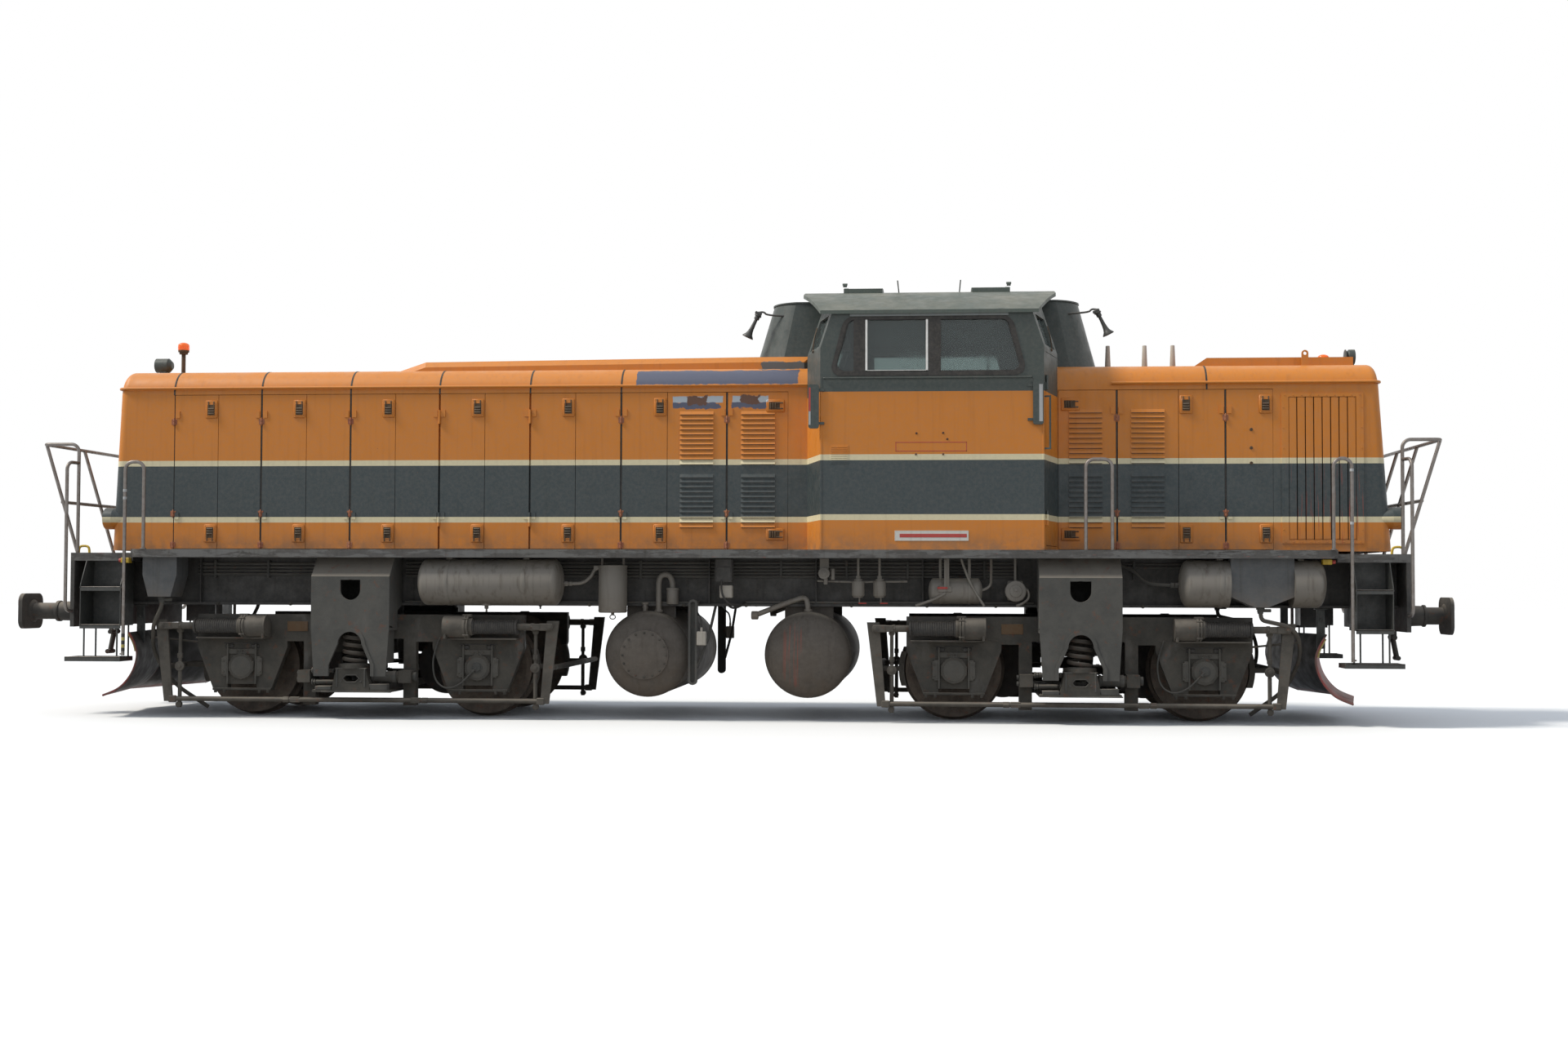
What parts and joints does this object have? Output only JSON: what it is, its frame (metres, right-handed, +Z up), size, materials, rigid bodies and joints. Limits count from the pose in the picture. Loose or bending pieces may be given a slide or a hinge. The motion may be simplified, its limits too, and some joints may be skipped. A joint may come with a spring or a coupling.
{
  "type": "diesel locomotive",
  "caption": "Diesel-electric hood locomotive with an off-centre cab, walkways, side doors, striped hoods and two-axle bogies with coil springs.",
  "frame": {"origin": "middle of the length and width, level with the bottom of the wheel flanges", "axes": "+X along the locomotive towards the short hood, +Y to the far side, +Z up"},
  "size_m": [14.24, 3.06, 4.388],
  "materials": {
    "hood_orange": "sun-faded semi-gloss paint",
    "cab_green": "dark green semi-gloss paint",
    "frame_grey": "dusty grey-brown paint",
    "bogie_grey": "dusty cast steel",
    "wheel_steel": "rolled steel, bright at the tread",
    "glass": "clear",
    "red_paint": "worn red paint",
    "rail_steel": "dark painted tube",
    "aluminium": "dull aluminium",
    "lamp": "translucent orange",
    "interior_grey": "grey-green enamel"
  },
  "bodies": {
    "locomotive": {"air_reservoirs": "frame_grey", "antennas": "aluminium", "beacons": "lamp", "bolster_brackets": "frame_grey", "buffers": "bogie_grey", "cab_end_a": "hood_orange", "cab_end_b": "hood_orange", "cab_fittings": "cab_green", "cab_glass": "glass", "cab_interior": "interior_grey", "cab_noses": "cab_green", "cab_roof": "cab_green", "cab_side_far": "hood_orange", "cab_side_near": "hood_orange", "corner_steps": "frame_grey", "couplings": "bogie_grey", "fuel_tanks": "frame_grey", "handrails": "rail_steel", "headlamps": "aluminium", "hood_fairing": "hood_orange", "hood_gutters": "hood_orange", "horns": "cab_green", "long_hood": "hood_orange", "long_hood_doors": "hood_orange", "main_frame": "frame_grey", "power_unit": "interior_grey", "roof_box": "hood_orange", "roof_hatches": "cab_green", "sandboxes": "frame_grey", "short_hood": "hood_orange", "short_hood_doors": "hood_orange", "side_grilles": "hood_orange", "snow_ploughs": "red_paint", "underframe_equipment": "frame_grey", "walkway": "frame_grey", "window_frames": "aluminium"},
    "bogie_a": {"axleboxes_a": "bogie_grey", "bogie_frame_a": "bogie_grey", "bolster_springs_a": "bogie_grey", "brake_gear_a": "bogie_grey", "traction_motors_a": "bogie_grey"},
    "bogie_b": {"axleboxes_b": "bogie_grey", "bogie_frame_b": "bogie_grey", "bolster_springs_b": "bogie_grey", "brake_gear_b": "bogie_grey", "traction_motors_b": "bogie_grey"},
    "cab_door_far": {"cab_door_far": "hood_orange"},
    "cab_door_near": {"cab_door_near": "hood_orange"},
    "engine_door_far_a": {"engine_door_far_a": "hood_orange"},
    "engine_door_far_b": {"engine_door_far_b": "hood_orange"},
    "engine_door_near_a": {"engine_door_near_a": "hood_orange"},
    "engine_door_near_b": {"engine_door_near_b": "hood_orange"},
    "wheelset_a1": {"wheelset_a1": "wheel_steel"},
    "wheelset_a2": {"wheelset_a2": "wheel_steel"},
    "wheelset_b1": {"wheelset_b1": "wheel_steel"},
    "wheelset_b2": {"wheelset_b2": "wheel_steel"}
  },
  "joints": [
    {"name": "bogie_a_yaw", "type": "hinge", "parent": "locomotive", "child": "bogie_a", "pos_m": [-3.55, 0, 0.8], "axis": [0, 0, 1], "range_deg": [-3, 3]},
    {"name": "wheelset_a1_roll", "type": "hinge", "parent": "bogie_a", "child": "wheelset_a1", "pos_m": [-4.75, 0, 0.506], "axis": [0, 1, 0], "continuous": true},
    {"name": "wheelset_a2_roll", "type": "hinge", "parent": "bogie_a", "child": "wheelset_a2", "pos_m": [-2.35, 0, 0.506], "axis": [0, 1, 0], "continuous": true},
    {"name": "bogie_b_yaw", "type": "hinge", "parent": "locomotive", "child": "bogie_b", "pos_m": [3.55, 0, 0.8], "axis": [0, 0, 1], "range_deg": [-3, 3]},
    {"name": "wheelset_b1_roll", "type": "hinge", "parent": "bogie_b", "child": "wheelset_b1", "pos_m": [2.35, 0, 0.506], "axis": [0, 1, 0], "continuous": true},
    {"name": "wheelset_b2_roll", "type": "hinge", "parent": "bogie_b", "child": "wheelset_b2", "pos_m": [4.75, 0, 0.506], "axis": [0, 1, 0], "continuous": true},
    {"name": "cab_door_near_hinge", "type": "hinge", "parent": "locomotive", "child": "cab_door_near", "pos_m": [3.23801, -1.44067, 2.6], "axis": [0, 0, -1], "range_deg": [0, 70]},
    {"name": "cab_door_far_hinge", "type": "hinge", "parent": "locomotive", "child": "cab_door_far", "pos_m": [1.03499, 1.44067, 2.6], "axis": [0, 0, -1], "range_deg": [0, 70]},
    {"name": "engine_door_near_a_hinge", "type": "hinge", "parent": "locomotive", "child": "engine_door_near_a", "pos_m": [-2.84, -0.862, 2.4], "axis": [0, 0, -1], "range_deg": [0, 90]},
    {"name": "engine_door_near_b_hinge", "type": "hinge", "parent": "locomotive", "child": "engine_door_near_b", "pos_m": [-1.908, -0.862, 2.4], "axis": [0, 0, 1], "range_deg": [0, 90]},
    {"name": "engine_door_far_a_hinge", "type": "hinge", "parent": "locomotive", "child": "engine_door_far_a", "pos_m": [-2.84, 0.862, 2.4], "axis": [0, 0, 1], "range_deg": [0, 90]},
    {"name": "engine_door_far_b_hinge", "type": "hinge", "parent": "locomotive", "child": "engine_door_far_b", "pos_m": [-1.908, 0.862, 2.4], "axis": [0, 0, -1], "range_deg": [0, 90]}
  ]
}
